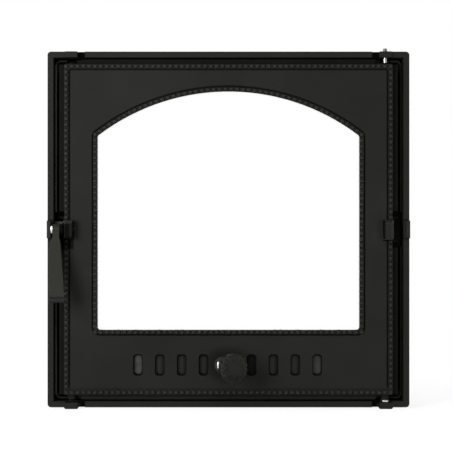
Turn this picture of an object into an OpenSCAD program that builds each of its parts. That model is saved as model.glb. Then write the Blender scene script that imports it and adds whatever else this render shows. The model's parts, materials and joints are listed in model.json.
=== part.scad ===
// Cast iron fireplace door with an arched glass window.
// X runs to the right, Y runs back into the fireplace, Z runs up. The wall face of the frame
// is the plane Y = 0, and the origin is the middle of its four fixing holes.

/* [Frame] */
// Width of the frame
frame_w = 410; // [400:1:440]
// Height of the frame
frame_h = 403; // [394:1:430]
// Depth of the frame, from the wall face to its rim
frame_d = 36; // [35:0.5:42]
// Thickness of the frame's outer wall
rim_t = 6.5; // [5:0.5:7]
// Corner radius of the frame
frame_r = 4; // [2:0.5:8]
// Thickness of the flange that lies on the wall
flange_t = 6; // [5:0.5:8]
// Width of the seal rib on the flange
rib_w = 3.5; // [2.5:0.25:4.5]
// Width of the flange left inside the seal rib
flange_in = 2.25; // [1:0.25:4]
// Thickness of the stop lip that stands on the flange
lip_t = 1.7; // [1:0.1:2.2]
// Gap from the leaf's edge to the stop lip at the sides
lip_gap = 3.5; // [2:0.1:4]
// How far the stop lip is cut away above and below mid-height
lip_cut = 20; // [16:1:30]
// Diameter of the fixing holes
fixing_d = 7; // [5:0.5:8]
// Inset of the fixing holes from the frame's sides
fixing_in_x = 18; // [16:0.5:19]
// Inset of the fixing holes from the frame's top and bottom
fixing_in_z = 16; // [15:0.5:17]

/* [Leaf] */
// Gap between the leaf and the frame at the sides
side_gap = 6.5; // [6:0.25:8]
// Gap between the leaf and the frame at top and bottom
end_gap = 2.25; // [1.5:0.25:3]
// How far the panel stands in front of the rim
leaf_proud = 2; // [1:0.5:4]
// Thickness of the panel
panel_t = 6; // [5:0.5:7]
// Corner radius of the panel
panel_r = 2; // [1:0.5:3]
// Depth of the step round the panel
step_drop = 4; // [3:0.5:5]
// Thickness of the step
step_t = 6; // [5:0.5:7]
// Width of the step at the sides
step_w_x = 6; // [5:0.25:6.5]
// Width of the step at top and bottom
step_w_z = 5.75; // [4.5:0.25:6]
// Room round the latch hook in the leaf's notch
notch_room = 0.9; // [0.6:0.1:1.5]
// Depth of the latch notch from the leaf's edge
notch_in = 4.6; // [4:0.2:5]

/* [Beading] */
// Width of a band of beads
band_w = 5; // [4:0.25:5.5]
// Size of one bead across the band
bead_s = 4.5; // [3.5:0.1:4.8]
// Height of the beads
bead_h = 2; // [1:0.25:3]
// Spacing of the beads along a band
bead_pitch = 6.6; // [6:0.1:8]
// Width of the groove beside a band
groove_w = 2; // [1:0.1:2.2]
// Depth of the groove beside a band
groove_d = 1.5; // [0.5:0.25:2.5]

/* [Window] */
// Room between the pane's side clips and the seal channel
pane_side = 0.5; // [0.4:0.1:16]
// Leaf left over the top of the arch
window_top = 36.15; // [35:0.5:50]
// Room between the pane's lower clips and the slider's guide strip
pane_sill = 1.1; // [0.4:0.1:12]
// Rise of the arch from its shoulders
window_rise = 50.4; // [35:1:60]
// Radius of the window's corners
window_r = 3.5; // [2:0.5:6]
// Overlap of the pane behind the window's edge
glass_lap = 7; // [6:0.25:8]
// Thickness of the pane
glass_t = 4; // [3:0.5:5]
// Thickness of the tape under the pane
tape_t = 2; // [1:0.5:3]

/* [Seal] */
// Diameter of the rope seal
rope_d = 11; // [9:0.5:11]
// Room beside the rope in its channel
rope_room = 0.5; // [0.3:0.1:1]
// Gap left round soft seals
soft_gap = 0.3; // [0.2:0.05:0.5]
// Thickness of the channel's walls
channel_wall = 4.5; // [3.5:0.25:5]
// Height of the channel's walls
channel_h = 8.5; // [6:0.25:8.5]
// Thickness of the rail between the panel and the channel
rail_t = 8; // [7:0.5:8]
// Leaf left outside the channel at the sides
lip_x = 6; // [5.5:0.25:6.5]
// Leaf left outside the channel at top and bottom
lip_z = 2.5; // [2:0.25:3]
// Corner radius of the rope's middle line
rope_turn = 10; // [8:0.5:14]

/* [Hinge] */
// Distance of the hinge line from the leaf's edge
hinge_in = 14; // [13.5:0.25:14.5]
// Distance of the hinge line behind the rim
hinge_back = 5; // [4.5:0.25:5.5]
// Diameter of the hinge pins
hinge_pin_d = 5; // [4:0.25:5.5]
// Running clearance on a pin's diameter
pin_play = 0.18; // [0.06:0.02:0.2]
// Radius of the leaf's knuckles
knuckle_r = 4.8; // [4.3:0.1:5]
// How far the top knuckles stand over the panel
knuckle_top = 2; // [1:0.25:3]
// How far the bottom knuckles stand below the panel
knuckle_bottom = 5.4; // [4.5:0.1:6]
// Depth of the pin bores in the leaf, from the panel's edge
pin_depth = 9; // [7:0.5:12]
// Diameter of the spacer under the leaf
spacer_d = 9.6; // [8:0.2:11]
// Thickness of the spacer under the leaf
spacer_t = 3.8; // [3:0.1:4.5]
// Width of the frame's ears
ear_w = 13.5; // [12:0.5:15]
// How far the ears stand in front of the rim
ear_proud = 2.5; // [1:0.5:4]
// Width of the rim notches beside the ears
ear_notch = 8.5; // [6:0.5:10]
// Depth of the rim notches beside the ears
ear_notch_d = 3.5; // [2:0.5:5]
// Depth of the bottom ears behind the rim
ear_d = 12; // [10:0.5:14]
// Thickness of the bottom ears
ear_bottom_t = 7; // [5:0.5:8]
// Widening of the bottom ears at their shoulders
ear_flare = 5; // [3:0.5:6]
// How far the top pin stands out of the frame
pin_up = 4; // [1:0.5:5]

/* [Latch] */
// Distance of the latch pin in front of the rim
latch_fwd = 8; // [7.5:0.25:8.5]
// Diameter of the latch pin
latch_pin_d = 6; // [5:0.25:6.5]
// Diameter of the latch pin's head
latch_head_d = 9.5; // [8:0.5:11]
// Thickness of the latch pin's head
latch_head_t = 2.5; // [2:0.25:2.7]
// Width of the leaf's lugs
lug_w = 11; // [10:0.5:12]
// Height of the leaf's lugs
lug_h = 21; // [19:0.5:23]
// How far the leaf's lugs stand in front of the panel
lug_out = 12; // [11.5:0.25:12.5]
// Chamfer on the lugs' outer corner
lug_chamfer = 3; // [2.5:0.5:4]
// Height of the frame's catch lugs
catch_h = 20; // [18:1:24]
// How far the catch lugs stand in front of the rim
catch_out = 7; // [5:0.5:8]
// How far the catch lugs stand out beside the frame
catch_side = 0; // [0:0.25:2]
// How far the catch lugs stay back from the rim's inner face
catch_in = 2.3; // [1.5:0.1:2.6]
// Length of the keeper bar on the frame's wall
keeper_l = 9.5; // [8.5:0.5:10]
// Height of the keeper bar
keeper_h = 6; // [4:0.5:6]
// Thickness of the keeper bar
keeper_t = 5; // [4:0.5:5]
// Distance of the keeper bar behind the rim
keeper_back = 8; // [7.5:0.25:8.5]

/* [Handle] */
// Diameter of the handle's hub
hub_d = 12.6; // [11.5:0.2:13]
// Room between the latch pin's head and the catch lug
latch_side = 0.8; // [0.5:0.1:1.5]
// Length of the handle below its pin
handle_l = 81; // [70:1:95]
// Width of the handle at its lower end
handle_w = 19; // [14:0.5:20]
// How far the lower end moves over towards the window
handle_over = 2; // [0:0.2:3]
// How far the lower end stands in front of the pin
handle_lean = 26; // [20:1:32]
// Thickness of the handle's lower end
handle_t = 7; // [5:0.5:8]
// Diameter of the rolled lip at the handle's lower end
handle_lip_d = 9; // [8:0.5:11]
// Thickness of the latch hook
hook_t = 5; // [4:0.25:5]
// Width of the latch hook
hook_w = 6; // [5:0.25:6.25]
// Height of the hook's nose over the hook's middle
nose_h = 8; // [7:0.25:8]
// Clearance of the latch parts
latch_play = 0.5; // [0.4:0.05:0.6]
// Angle that the handle lifts through
handle_lift = 30; // [20:1:32]
// Thickness of the washers on the latch pin
latch_washer_t = 3.8; // [3:0.1:4]
// Diameter of the washers on the latch pin
latch_washer_d = 12; // [10:0.5:13]

/* [Air control] */
// Number of air slots on each side of the knob
slots_side = 4; // [3:1:4]
// Width of an air slot
slot_w = 11; // [9:0.1:11]
// Height of an air slot
slot_h = 24.5; // [18:0.5:25]
// Corner radius of an air slot
slot_r = 3.8; // [3:0.1:4.4]
// Spacing of the air slots
slot_pitch = 24.75; // [23:0.25:25]
// Distance of the first air slot from the middle
slot_first = 27.2; // [26:0.1:29]
// How far the row of slots sits to the left of the leaf's middle
slot_shift = 1; // [0:0.1:1.5]
// Room between the slider and the seal channel under it
slider_room = 0.55; // [0.45:0.05:6]
// Thickness of the slider
slider_t = 2; // [1.5:0.25:2.5]
// Overlap of the slider past the slots at top and bottom
slider_lap = 3; // [2.5:0.25:3.25]
// Overlap of the slider past the slots at its ends
slider_end = 5; // [4:0.5:8]
// Running clearance of the slider
slider_play = 0.2; // [0.1:0.05:0.4]
// Diameter of the control stud
stud_d = 8; // [6:0.5:8]
// Width across the flats of the stud's nuts
nut_af = 13; // [12:0.5:13]
// Thickness of the nut in front of the panel
nut_t = 8; // [6:0.5:9]
// Thickness of the thin nut behind the slider
rear_nut_t = 4; // [3:0.5:5]
// Diameter of the washer in front of the panel
washer_d = 19; // [17:0.5:22]
// Thickness of the washer in front of the panel
washer_t = 1.6; // [1:0.2:2.4]
// Thickness of the spring washer behind the slider
spring_t = 1.8; // [1.2:0.2:2.4]
// Diameter of the knob
knob_d = 32.5; // [28:0.5:36]
// Thickness of the knob's head
knob_t = 13; // [10:0.5:16]
// Angle that the knob leans over
knob_lean = 22; // [10:1:24]
// Diameter of the stud's leaning end
spigot_d = 6.5; // [5:0.25:7]
// Distance from the bend to the middle of the knob's head
knob_reach = 34; // [30:0.5:38]
// Number of flutes round the knob
flutes = 14; // [10:1:18]

/* [Fasteners] */
// Diameter of the clip and guide screws
screw_d = 4; // [3:0.5:4]
// Diameter of the screws' heads
screw_head_d = 7; // [6:0.25:7]
// Height of the screws' heads
screw_head_h = 2.5; // [2:0.25:3]
// Thickness of the pane clips
clip_t = 2; // [1.5:0.25:2.5]
// Width of the pane clips
clip_w = 14; // [12:0.5:16]
// How far the pane clips reach over the pane
clip_lap = 5.5; // [4:0.25:5.5]
// Radius of the clip screws' bosses
boss_r = 4; // [3.5:0.25:4]
// Thickness of the slider's guide strip
guide_t = 2; // [1.5:0.25:2.5]

/* [Hidden] */
$fn = 64;
// Oversize of a cutting solid past the surface that it cuts
cut = 1;
coarse = 32;
// Corner radius of the stop lip, and the smallest corner radius inside a ring
lip_r = 6;
inner_r = 0.5;

// Half sizes of the leaf, its panel and its seal
leaf_x = frame_w / 2 - rim_t - side_gap;
leaf_z = frame_h / 2 - rim_t - end_gap;
panel_x = leaf_x - step_w_x;
panel_z = leaf_z - step_w_z;
channel_w = rope_d + 2 * rope_room;
ring_x = leaf_x - lip_x;
ring_z = leaf_z - lip_z;
rope_x = ring_x - channel_wall - channel_w / 2;
rope_z = ring_z - channel_wall - channel_w / 2;
ring_half = channel_w / 2 + channel_wall;
inner_x = rope_x - ring_half;
inner_z = rope_z - ring_half;

// Depths, from front to back
rim_y = -frame_d;
panel_y = rim_y - leaf_proud;
panel_back = panel_y + panel_t;
step_y = panel_y + step_drop;
step_back = step_y + step_t;
floor_y = panel_back + rail_t;
wall_top = floor_y + channel_h;
rope_y = floor_y + soft_gap + rope_d / 2;
rib_y = rope_y + rope_d / 2 + soft_gap;
lip_y = step_back + latch_play;
tape_back = panel_back + tape_t;
glass_back = tape_back + glass_t;
clip_back = glass_back + clip_t;

// Slider, with its guide strip over it, stacked up from the seal channel
slider_z0 = -inner_z + slider_room;
slider_z1 = slider_z0 + slot_h + 2 * slider_lap;
slot_z = (slider_z0 + slider_z1) / 2;
face_gap = 0.1;
guide_boss_r = 3.4;
guide_screw_z = slider_z1 + guide_boss_r + slider_play + face_gap;
guide_z1 = guide_screw_z + guide_boss_r;

// Pane, which leaves a strip for its clips inside the seal channel, and the window in it
clip_gap = 1;
clip_strip = clip_gap + 2 * boss_r;
glass_x = inner_x - pane_side - clip_strip;
glass_z0 = guide_z1 + pane_sill + clip_strip;
window_x = glass_x - glass_lap;
window_foot = glass_z0 + glass_lap;
window_apex = leaf_z - window_top;
glass_z1 = window_apex + glass_lap;
glass_mid = (glass_z0 + glass_z1) / 2;
arch_r = (window_x * window_x + window_rise * window_rise) / (2 * window_rise);
arch_z = window_apex - arch_r;
corner_x = window_x - window_r;
corner_z = arch_z + sqrt(pow(arch_r - window_r, 2) - pow(corner_x, 2));

// The beads round the window stand in a narrower band that starts at its edge
inner_band_w = 4.4;
groove_r = 2;
bead_clear = 0.2;

// Hinge line and latch pin
hinge_x = leaf_x - hinge_in;
hinge_y = rim_y + hinge_back;
pin_end = panel_z - pin_depth;
pin_room = 1;
ear_bottom_z = -panel_z - knuckle_bottom - spacer_t;
bore_d = hinge_pin_d + pin_play;
latch_y = rim_y - latch_fwd;
lug_out_x = panel_x;
lug_in_x = panel_x - lug_w;
lug_y = panel_y - lug_out;
lug_edge = 1;
latch_notch = (step_back - latch_y) * tan(handle_lift)
    + hook_t / 2 / cos(handle_lift) + notch_room;

// Catch lug and keeper on the frame
catch_x0 = frame_w / 2 - rim_t + catch_in;
catch_x1 = frame_w / 2 + catch_side;
keeper_y = rim_y + keeper_back;
keeper_z = hook_t / 2 + latch_play;
nose_y = keeper_y + keeper_t + latch_play;
wall_in = frame_w / 2 - rim_t;

// The handle's hub fills the room between the lug's washer and the pin's head
washer_x = -lug_out_x - face_gap - latch_washer_t;
hub_right = washer_x - face_gap;
head_right = -catch_x0 + latch_side + latch_head_t;
hub_left = head_right + 2 * face_gap;
hub_w = hub_right - hub_left;
retainer_t = 1;

// Air control
travel = slot_pitch / 2;
stud_x = -travel / 2;
slider_y = panel_back + slider_play;
slider_back = slider_y + slider_t;
slot_last = slot_first + (slots_side - 1) * slot_pitch;
slider_x0 = -slot_last - slot_shift - travel - slot_w / 2 - slider_end;
slider_x1 = slot_last - slot_shift + slot_w / 2 + slider_end;
washer_back = panel_y - slider_play;
nut_back = washer_back - washer_t;
stud_play = 0.6;
stud_show = 1;
bend_y = nut_back - nut_t - stud_show;
slots = [
    for (side = [-1, 1], i = [0 : slots_side - 1])
        side * (slot_first + i * slot_pitch) - slot_shift
];

// Guide strip over the slider's upper edge, and the retainers under its lower edge
guide_y = slider_back + slider_play;
guide_lap = 3.5;
guide_z0 = slider_z1 - guide_lap;
guide_half = slot_last + slot_w;
guide_inset = 12;
guide_screw_xs = [-guide_half + guide_inset, 0, guide_half - guide_inset];
guide_tap = 3;
retain_x = slot_last - slot_pitch / 2;
retain_w = 12;
retain_t = 3;

// Pane and its clips: x, z and the way that each clip points
glass_r = 2;
tape_in = 1;
screw_room = 1;
clip_off = clip_gap + boss_r;
clip_step = 100;
clip_side_z = [glass_mid - clip_step, glass_mid, glass_mid + clip_step];
clip_end_x = 75;
clip_spots = concat(
    [for (s = [-1, 1], z = clip_side_z) [s * (glass_x + clip_off), z, s > 0 ? 180 : 0]],
    [for (s = [-1, 1]) [s * clip_end_x, glass_z0 - clip_off, 90]]
);

iron = [0.15, 0.15, 0.14];
dark_iron = [0.10, 0.10, 0.10];
bright_steel = [0.78, 0.78, 0.76];
plated_steel = [0.45, 0.45, 0.43];
rope_grey = [0.70, 0.68, 0.62];
glass_clear = [0.75, 0.85, 0.85, 0.35];

// ---- Shared shapes -------------------------------------------------------------------

// Extrudes an outline drawn in X and Z from one depth to another
module slab(front, back) {
    rotate([90, 0, 0])
        translate([0, 0, -back])
            linear_extrude(back - front)
                children();
}

// Rectangle with true round corners, given by its half sizes
module rounded(hx, hz, r) {
    square([2 * (hx - r), 2 * hz], center = true);
    square([2 * hx, 2 * (hz - r)], center = true);
    for (sx = [-1, 1], sz = [-1, 1])
        translate([sx * (hx - r), sz * (hz - r)])
            circle(r);
}

// Ring between two rounded rectangles
module ring(hx, hz, r, w) {
    difference() {
        rounded(hx, hz, r);
        rounded(hx - w, hz - w, max(r - w, inner_r));
    }
}

// Slot with round ends, standing on end
module obround(w, h) {
    square([w, h - w], center = true);
    for (s = [-1, 1])
        translate([0, s * (h - w) / 2])
            circle(w / 2);
}

// Outline of the arched window, grown by g on every side
module arch(g) {
    top = arch_z + arch_r + g + cut;
    top_x = corner_x * (top - arch_z) / (corner_z - arch_z);
    intersection() {
        translate([0, arch_z])
            circle(arch_r + g);
        polygon([[-corner_x, corner_z], [corner_x, corner_z], [top_x, top], [-top_x, top]]);
    }
    translate([-corner_x, window_foot - g])
        square([2 * corner_x, corner_z - window_foot + g]);
    translate([-window_x - g, window_foot + window_r])
        square([2 * (window_x + g), corner_z - window_foot - window_r]);
    for (s = [-1, 1], z = [window_foot + window_r, corner_z])
        translate([s * corner_x, z])
            circle(window_r + g);
}

// Upright cylinder on the hinge line, on one side of the leaf
module hinge_post(side, z0, z1, d) {
    translate([side * hinge_x, hinge_y, z0])
        cylinder(h = z1 - z0, d = d);
}

// Cylinder along X on the latch pin's line
module latch_bar(x0, x1, d) {
    translate([x0, latch_y, 0])
        rotate([0, 90, 0])
            cylinder(h = x1 - x0, d = d);
}

// Cylinder along Y at a place on the leaf
module leaf_bar(x, z, front, back, d) {
    translate([x, back, z])
        rotate([90, 0, 0])
            cylinder(h = back - front, d = d);
}

// Hexagon nut on the control stud
module stud_nut(front, back) {
    difference() {
        translate([stud_x, back, slot_z])
            rotate([90, 0, 0])
                cylinder(h = back - front, d = nut_af / cos(30), $fn = 6);
        leaf_bar(stud_x, slot_z, front - cut, back + cut, stud_d);
    }
}

// ---- Frame ---------------------------------------------------------------------------

module top_ear(side) {
    translate([side * hinge_x - ear_w / 2, rim_y - ear_proud, frame_h / 2 - rim_t])
        cube([ear_w, ear_proud + hinge_back, rim_t]);
}

module bottom_ear(side) {
    low = ear_bottom_z - ear_bottom_t;
    shoulder = 1;
    slab(rim_y - ear_proud, rim_y + ear_d)
        translate([side * hinge_x, 0])
            polygon([
                [-ear_w / 2, low],
                [ear_w / 2, low],
                [ear_w / 2 + ear_flare, ear_bottom_z - shoulder],
                [ear_w / 2, ear_bottom_z],
                [-ear_w / 2, ear_bottom_z],
                [-ear_w / 2 - ear_flare, ear_bottom_z - shoulder]
            ]);
}

module catch_lug(side) {
    translate([side > 0 ? catch_x0 : -catch_x1, rim_y - catch_out, -catch_h / 2])
        cube([catch_x1 - catch_x0, catch_out + rim_t, catch_h]);
}

// Outer wall, with the rim notched beside the ears and its lower side open over them
module frame_wall() {
    difference() {
        slab(rim_y, 0)
            ring(frame_w / 2, frame_h / 2, frame_r, rim_t);
        for (side = [-1, 1]) {
            for (end = [-1, 1])
                translate([side * (hinge_x - (ear_w + ear_notch) / 2), rim_y, end * frame_h / 2])
                    cube([ear_notch, 2 * ear_notch_d, 3 * rim_t], center = true);
            translate([side * hinge_x, rim_y, -frame_h / 2])
                cube([ear_w, 2 * ear_d, 3 * rim_t], center = true);
        }
    }
}

// Lip that the leaf's step stops against, open at the knuckles and at mid-height
module stop_lip() {
    knuckle_room = 1;
    slab(lip_y, -flange_t)
        difference() {
            ring(leaf_x + lip_gap + lip_t, leaf_z - soft_gap, lip_r, lip_t);
            square([frame_w, 2 * lip_cut], center = true);
            for (side = [-1, 1])
                translate([side * hinge_x, 0])
                    square([2 * (knuckle_r + knuckle_room), frame_h], center = true);
        }
}

module outer_frame() {
    in_x = rope_x - rib_w / 2 - flange_in;
    in_z = rope_z - rib_w / 2 - flange_in;
    color(iron)
        difference() {
            union() {
                frame_wall();
                slab(-flange_t, 0)
                    difference() {
                        rounded(frame_w / 2, frame_h / 2, frame_r);
                        rounded(in_x, in_z, rope_turn - rib_w / 2 - flange_in);
                    }
                slab(rib_y, -flange_t)
                    ring(
                        rope_x + rib_w / 2, rope_z + rib_w / 2,
                        rope_turn + rib_w / 2, rib_w
                    );
                stop_lip();
                for (side = [-1, 1]) {
                    top_ear(side);
                    bottom_ear(side);
                    catch_lug(side);
                }
                translate([-wall_in - cut, keeper_y, keeper_z])
                    cube([keeper_l + cut, keeper_t, keeper_h]);
            }
            for (side = [-1, 1]) {
                hinge_post(side, frame_h / 3, frame_h, hinge_pin_d);
                hinge_post(side, -frame_h, -frame_h / 3, hinge_pin_d);
                for (sz = [-1, 1])
                    leaf_bar(
                        side * (frame_w / 2 - fixing_in_x),
                        sz * (frame_h / 2 - fixing_in_z),
                        -flange_t - cut, cut, fixing_d
                    );
            }
        }
}

module hinge_pin_top() {
    color(bright_steel)
        hinge_post(1, pin_end + pin_room, frame_h / 2 + pin_up, hinge_pin_d);
}

module hinge_pin_bottom() {
    color(bright_steel)
        hinge_post(1, ear_bottom_z - ear_bottom_t, -pin_end - pin_room, hinge_pin_d);
}

module hinge_spacer() {
    color(bright_steel)
        difference() {
            hinge_post(1, ear_bottom_z, ear_bottom_z + spacer_t, spacer_d);
            hinge_post(1, ear_bottom_z - cut, ear_bottom_z + spacer_t + cut, hinge_pin_d);
        }
}

// ---- Leaf ----------------------------------------------------------------------------

module leaf_lug(side) {
    mirror([side > 0 ? 0 : 1, 0, 0])
        translate([0, 0, -lug_h / 2])
            linear_extrude(lug_h)
                polygon([
                    [lug_in_x, panel_back],
                    [lug_in_x, lug_y + lug_edge],
                    [lug_in_x + lug_edge, lug_y],
                    [lug_out_x - lug_chamfer, lug_y],
                    [lug_out_x, lug_y + lug_chamfer],
                    [lug_out_x, panel_back]
                ]);
}

// Outline of the step with its corners and side notches cut
module step_outline() {
    ear_room = 4.5;
    slit_w = 3;
    slit_z = latch_notch + 1.5 * slit_w;
    corner = leaf_x - hinge_x + ear_w / 2 + ear_room;
    difference() {
        rounded(leaf_x, leaf_z, 1);
        for (sx = [-1, 1]) {
            for (sz = [-1, 1]) {
                translate([sx * (leaf_x - corner / 2), sz * leaf_z])
                    square([corner, 2 * step_w_z], center = true);
                translate([sx * leaf_x, sz * slit_z])
                    square([2 * notch_in, slit_w], center = true);
            }
            translate([sx * leaf_x, 0])
                square([2 * notch_in, 2 * latch_notch], center = true);
        }
    }
}

// Hooks on the rail that hold the slider's lower edge, with a ledge under it
module slider_retainers() {
    top = slider_z0 + guide_lap;
    for (x = [-retain_x, 0, retain_x]) {
        translate([x - retain_w / 2, guide_y, -inner_z - cut])
            cube([retain_w, retain_t, top + inner_z + cut]);
        translate([x - retain_w / 2, panel_back - cut, -inner_z - cut])
            cube([
                retain_w, guide_y + retain_t - panel_back + cut,
                slider_z0 - slider_play + inner_z + cut
            ]);
    }
}

module door_leaf() {
    color(iron)
        difference() {
            union() {
                slab(panel_y, panel_back)
                    rounded(panel_x, panel_z, panel_r);
                slab(step_y, step_back)
                    difference() {
                        step_outline();
                        rounded(inner_x, inner_z, inner_r);
                    }
                slab(panel_back, floor_y)
                    ring(ring_x, ring_z, rope_turn + ring_half, 2 * ring_half);
                slab(floor_y, wall_top) {
                    ring(ring_x, ring_z, rope_turn + ring_half, channel_wall);
                    ring(
                        inner_x + channel_wall, inner_z + channel_wall,
                        rope_turn - channel_w / 2, channel_wall
                    );
                }
                for (side = [-1, 1]) {
                    leaf_lug(side);
                    hinge_post(side, pin_end - pin_room, panel_z + knuckle_top, 2 * knuckle_r);
                    hinge_post(side, -panel_z - knuckle_bottom, -pin_end + pin_room, 2 * knuckle_r);
                }
                for (c = clip_spots)
                    leaf_bar(c[0], c[1], panel_back - cut, glass_back, 2 * boss_r);
                for (x = guide_screw_xs)
                    leaf_bar(
                        x, guide_screw_z, panel_back - cut, guide_y, 2 * guide_boss_r
                    );
                slider_retainers();
            }
            slab(panel_y - cut, panel_back + cut)
                arch(0);
            slab(panel_y - cut, panel_y + groove_d)
                difference() {
                    arch(inner_band_w + groove_w);
                    arch(inner_band_w);
                }
            slab(panel_y - cut, panel_y + groove_d)
                ring(panel_x - band_w, panel_z - band_w, groove_r, groove_w);
            slab(panel_y - cut, panel_back + cut)
                for (x = slots)
                    translate([x, slot_z])
                        rounded(slot_w / 2, slot_h / 2, slot_r);
            slab(panel_y - cut, panel_back + cut)
                translate([0, slot_z])
                    rotate(90)
                        obround(stud_d + stud_play, travel + stud_d + stud_play);
            for (side = [-1, 1]) {
                hinge_post(side, pin_end, panel_z + knuckle_top + cut, bore_d);
                hinge_post(side, -panel_z - knuckle_bottom - cut, -pin_end, bore_d);
            }
            latch_bar(-lug_out_x - cut, -lug_in_x + cut, latch_pin_d);
            for (c = clip_spots)
                leaf_bar(c[0], c[1], panel_back, glass_back + cut, screw_d);
            for (x = guide_screw_xs)
                leaf_bar(x, guide_screw_z, panel_back - guide_tap, guide_y + cut, screw_d);
        }
}

// Straight run of beads from one point to another, leaving out the last one
module bead_run(from, to) {
    run = to - from;
    count = round(norm(run) / bead_pitch);
    for (i = [0 : count - 1])
        translate(from + run * i / count)
            rotate(atan2(run[1], run[0]))
                square(bead_s, center = true);
}

module outer_beading() {
    x = panel_x - band_w / 2;
    z = panel_z - band_w / 2;
    color(iron)
        slab(panel_y - bead_h, panel_y)
            difference() {
                union() {
                    bead_run([-x, z], [x, z]);
                    bead_run([x, z], [x, -z]);
                    bead_run([x, -z], [-x, -z]);
                    bead_run([-x, -z], [-x, z]);
                }
                square([2 * panel_x + 2 * cut, lug_h + 2 * bead_clear], center = true);
            }
}

module inner_beading() {
    off = inner_band_w / 2;
    x = window_x + off;
    foot = window_foot - off;
    spring = arch_z + sqrt(pow(arch_r + off, 2) - pow(x, 2));
    sweep = 2 * asin(x / (arch_r + off));
    count = round(sweep * PI / 180 * (arch_r + off) / bead_pitch);
    color(iron)
        slab(panel_y - bead_h, panel_y) {
            bead_run([x, spring], [x, foot]);
            bead_run([x, foot], [-x, foot]);
            bead_run([-x, foot], [-x, spring]);
            translate([0, arch_z])
                for (i = [0 : count - 1])
                    rotate(sweep / 2 - sweep * i / count)
                        translate([0, arch_r + off])
                            square(bead_s, center = true);
        }
}

module rope_seal() {
    color(rope_grey)
        translate([0, rope_y, 0])
            rotate([90, 0, 0]) {
                for (sx = [-1, 1]) {
                    translate([sx * rope_x, 0, 0])
                        rotate([90, 0, 0])
                            cylinder(h = 2 * (rope_z - rope_turn), d = rope_d, center = true);
                    translate([0, sx * rope_z, 0])
                        rotate([0, 90, 0])
                            cylinder(h = 2 * (rope_x - rope_turn), d = rope_d, center = true);
                }
                for (turn = [[1, 1, 0], [-1, 1, 90], [-1, -1, 180], [1, -1, 270]])
                    translate([
                        turn[0] * (rope_x - rope_turn),
                        turn[1] * (rope_z - rope_turn), 0
                    ])
                        rotate(turn[2])
                            rotate_extrude(angle = 90)
                                translate([rope_turn, 0])
                                    circle(d = rope_d);
            }
}

module glass_tape() {
    color(rope_grey)
        slab(panel_back, tape_back)
            difference() {
                translate([0, glass_mid])
                    rounded(glass_x, (glass_z1 - glass_z0) / 2, glass_r);
                arch(tape_in);
            }
}

module glass_pane() {
    color(glass_clear)
        slab(tape_back, glass_back)
            translate([0, glass_mid])
                rounded(glass_x, (glass_z1 - glass_z0) / 2, glass_r);
}

module glass_clips() {
    reach = clip_off + clip_lap;
    color(plated_steel)
        for (c = clip_spots)
            slab(glass_back, clip_back)
                translate([c[0], c[1]])
                    rotate(c[2])
                        difference() {
                            translate([(reach - boss_r) / 2, 0])
                                square([reach + boss_r, clip_w], center = true);
                            circle(screw_d / 2);
                        }
}

module clip_screws() {
    color(plated_steel)
        for (c = clip_spots) {
            leaf_bar(c[0], c[1], panel_back + screw_room, clip_back, screw_d);
            leaf_bar(c[0], c[1], clip_back, clip_back + screw_head_h, screw_head_d);
        }
}

module slider_guide() {
    color(plated_steel)
        slab(guide_y, guide_y + guide_t)
            difference() {
                translate([-guide_half, guide_z0])
                    square([2 * guide_half, guide_z1 - guide_z0]);
                for (x = guide_screw_xs)
                    translate([x, guide_screw_z])
                        circle(screw_d / 2);
            }
}

module guide_screws() {
    top = guide_y + guide_t;
    color(plated_steel)
        for (x = guide_screw_xs) {
            leaf_bar(x, guide_screw_z, panel_back - guide_tap + screw_room, top, screw_d);
            leaf_bar(x, guide_screw_z, top, top + screw_head_h, screw_head_d);
        }
}

// ---- Latch ---------------------------------------------------------------------------

module latch_pin() {
    color(bright_steel) {
        latch_bar(head_right - latch_head_t, head_right, latch_head_d);
        latch_bar(head_right, -lug_in_x + 1.5 * retainer_t, latch_pin_d);
    }
}

module latch_washer() {
    color(dark_iron)
        difference() {
            latch_bar(washer_x, washer_x + latch_washer_t, latch_washer_d);
            latch_bar(washer_x - cut, washer_x + latch_washer_t + cut, latch_pin_d);
        }
}

module latch_retainer() {
    color(dark_iron)
        difference() {
            latch_bar(-lug_in_x, -lug_in_x + retainer_t, latch_washer_d - 2);
            latch_bar(-lug_in_x - cut, -lug_in_x + retainer_t + cut, latch_pin_d);
        }
}

// Slice of the handle's blade, given by its middle, its lower end, its width and its thickness
module blade_slice(x, y, z, w, t) {
    translate([x - w / 2, y - t / 2, z])
        cube([w, t, 1]);
}

module latch_handle() {
    hub_mid = (hub_left + hub_right) / 2;
    low_x = hub_mid + handle_over;
    low_y = latch_y - handle_lean;
    low_z = -handle_l + handle_lip_d;
    neck_z = -latch_washer_d / 2 - 3;
    neck_y = latch_y - handle_lean * neck_z / low_z;
    neck_t = 0.8 * hub_d;
    color(iron)
        difference() {
            union() {
                hull() {
                    latch_bar(hub_left, hub_right, hub_d, $fn = coarse);
                    blade_slice(hub_mid, neck_y, neck_z, hub_w, neck_t);
                }
                hull() {
                    blade_slice(hub_mid, neck_y, neck_z, hub_w, neck_t);
                    blade_slice(low_x, low_y, low_z, handle_w, handle_t);
                }
                hull() {
                    blade_slice(low_x, low_y, low_z, handle_w, handle_t);
                    translate([
                        low_x - handle_w / 2,
                        low_y + (handle_t - handle_lip_d) / 2,
                        -handle_l + handle_lip_d / 2
                    ])
                        rotate([0, 90, 0])
                            cylinder(h = handle_w, d = handle_lip_d, $fn = coarse);
                }
                translate([hub_right - hook_w, latch_y, -hook_t / 2])
                    cube([hook_w, nose_y + hook_t - latch_y, hook_t]);
                translate([hub_right - hook_w, nose_y, -hook_t / 2])
                    cube([hook_w, hook_t, nose_h + hook_t / 2]);
            }
            latch_bar(hub_left - cut, hub_right + cut, latch_pin_d + pin_play);
        }
}

// ---- Air control ---------------------------------------------------------------------

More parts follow.
